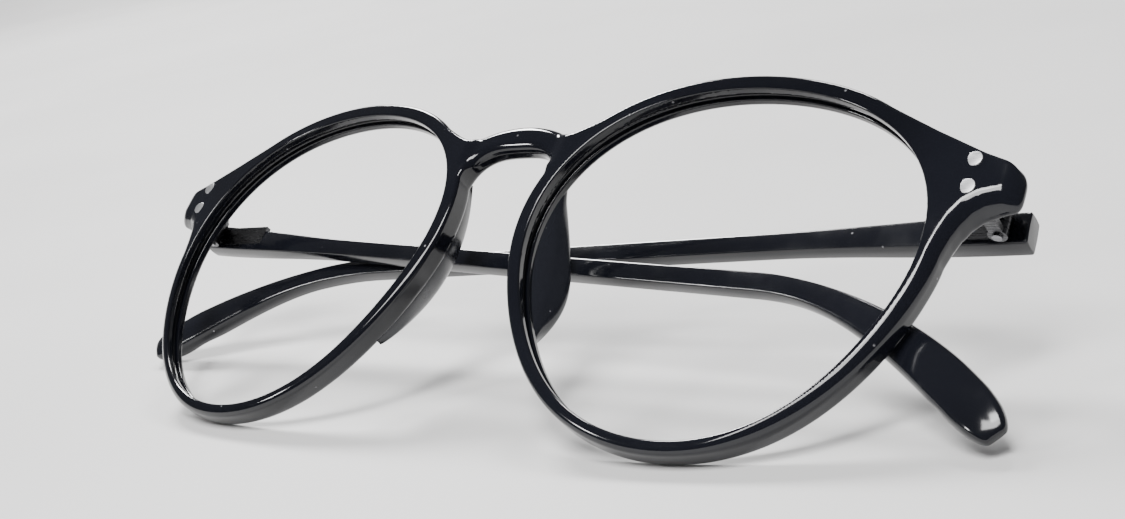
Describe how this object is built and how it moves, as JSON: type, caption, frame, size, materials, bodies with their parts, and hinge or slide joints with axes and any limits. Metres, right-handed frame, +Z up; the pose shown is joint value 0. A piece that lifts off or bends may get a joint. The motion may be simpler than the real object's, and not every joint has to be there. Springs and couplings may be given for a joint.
{
  "type": "eyeglasses frame",
  "caption": "Round black plastic eyeglasses frame without lenses: keyhole bridge, nose pads, riveted end pieces and folding temples on barrel hinges.",
  "frame": {"origin": "on the floor, below the middle of the folded frame's box", "axes": "+X to the wearer's left, +Y back from the front of the frame towards the wearer's face, +Z up from the floor; the front leans back as it stands on its rims and temple tips"},
  "size_m": [0.1474, 0.0438, 0.0358],
  "materials": {
    "front_plastic": "polished bluish black acetate",
    "pad_plastic": "polished black acetate, slightly softer gloss",
    "temple_plastic": "polished bluish black acetate",
    "hinge_metal": "satin nickel silver",
    "screw_metal": "bright turned steel",
    "rivet_metal": "polished flush nickel silver",
    "wire_metal": "plain drawn wire"
  },
  "bodies": {
    "front": {"front": "front_plastic", "nose_pad_left": "pad_plastic", "nose_pad_right": "pad_plastic", "front_hinge_left": "hinge_metal", "hinge_screw_left": "screw_metal", "front_rivet_upper_left": "rivet_metal", "front_rivet_lower_left": "rivet_metal", "front_hinge_right": "hinge_metal", "hinge_screw_right": "screw_metal", "front_rivet_upper_right": "rivet_metal", "front_rivet_lower_right": "rivet_metal"},
    "temple_left": {"temple_left": "temple_plastic", "temple_hinge_left": "hinge_metal", "core_wire_left": "wire_metal", "temple_rivet_fore_left": "rivet_metal", "temple_rivet_aft_left": "rivet_metal"},
    "temple_right": {"temple_right": "temple_plastic", "temple_hinge_right": "hinge_metal", "core_wire_right": "wire_metal", "temple_rivet_fore_right": "rivet_metal", "temple_rivet_aft_right": "rivet_metal"}
  },
  "joints": [
    {"name": "temple_left_fold", "type": "hinge", "parent": "front", "child": "temple_left", "pos_m": [0.0659, 0.01227, 0.01827], "axis": [0, -0.788, -0.6157], "range_deg": [0, 89.05]},
    {"name": "temple_right_fold", "type": "hinge", "parent": "front", "child": "temple_right", "pos_m": [-0.0659, 0.01227, 0.01827], "axis": [0, 0.788, 0.6157], "range_deg": [0, 92.05]}
  ]
}
